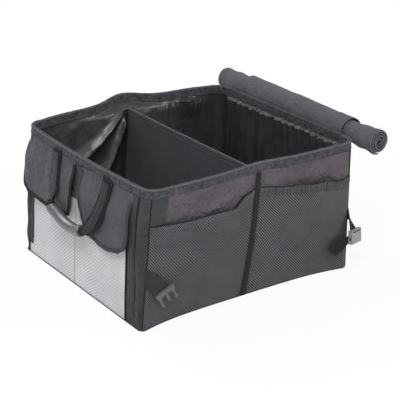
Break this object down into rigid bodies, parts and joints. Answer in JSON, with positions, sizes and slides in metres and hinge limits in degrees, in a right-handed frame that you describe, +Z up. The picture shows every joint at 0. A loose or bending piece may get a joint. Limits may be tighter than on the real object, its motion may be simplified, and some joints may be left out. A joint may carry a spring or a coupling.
{
  "type": "car trunk organizer",
  "caption": "Soft folding car trunk box with a divider, mesh pockets under flaps, carry handles at both ends, corner buckle straps and a cover rolled up along one rim.",
  "frame": {"origin": "centre of the underside's rectangle, on the floor the box stands on", "axes": "+X along the long front wall towards the rolled cover, +Y from the mesh front to the back, +Z up"},
  "size_m": [0.6492, 0.5778, 0.3306],
  "materials": {
    "shell": "matt woven polyester, brown grey",
    "flap": "matt woven polyester, dark grey",
    "underside": "matt coated polyester",
    "board": "plain fibreboard, hidden between the fabrics",
    "liner": "glossy coated nylon, black",
    "binding": "ribbed binding tape, dark grey",
    "black_binding": "ribbed binding tape, black",
    "dark_mesh": "fine knitted mesh over dark cloth",
    "light_mesh": "fine knitted mesh, light grey",
    "cover": "matt woven polyester, grey",
    "webbing": "woven flat webbing, near black",
    "grip": "satin moulded plastic, grey",
    "buckle": "satin moulded plastic, dark grey"
  },
  "bodies": {
    "box": {"shell_front": "shell", "shell_back": "shell", "shell_left_end": "shell", "shell_right_end": "shell", "flap_far": "flap", "flap_near": "flap", "shell_bottom": "underside", "board_front_left": "board", "board_front_right": "board", "board_back_left": "board", "board_back_right": "board", "board_left_end_near": "board", "board_left_end_far": "board", "board_right_end_near": "board", "board_right_end_far": "board", "floor_board_left": "board", "floor_board_right": "board", "divider_board": "board", "liner_front": "liner", "liner_back": "liner", "liner_left_end": "liner", "liner_right_end": "liner", "liner_floor": "liner", "rim_binding": "binding", "divider_tape_front": "binding", "divider_tape_back": "binding", "front_mesh_tape_left": "binding", "front_mesh_tape_right": "binding", "front_corner_tape": "binding", "end_mesh_tape": "binding", "cover_hinge_strip": "binding", "front_centre_tape": "black_binding", "flap_tape_far": "black_binding", "flap_tape_near": "black_binding", "front_mesh_left": "dark_mesh", "front_mesh_right": "dark_mesh", "end_mesh_pocket": "light_mesh", "divider_cover": "cover", "cover_roll": "cover", "cover_keeper": "cover", "keeper_band": "cover", "strap_front_left": "webbing", "strap_front_right": "webbing", "strap_back_left": "webbing", "strap_back_right": "webbing", "buckle_plug_front_left": "buckle", "buckle_socket_front_right": "buckle", "buckle_plug_back_left": "buckle", "buckle_socket_back_right": "buckle"},
    "left_handle": {"left_handle_webbing": "webbing", "left_handle_grip": "grip"},
    "right_handle": {"right_handle_webbing": "webbing", "right_handle_grip": "grip"}
  },
  "joints": [
    {"name": "left_handle_swing", "type": "hinge", "parent": "box", "child": "left_handle", "pos_m": [-0.26255, 0, 0.2927], "axis": [0, 1, 0], "range_deg": [0, 158]},
    {"name": "right_handle_swing", "type": "hinge", "parent": "box", "child": "right_handle", "pos_m": [0.27425, 0, 0.2927], "axis": [0, -1, 0], "range_deg": [0, 30]}
  ]
}
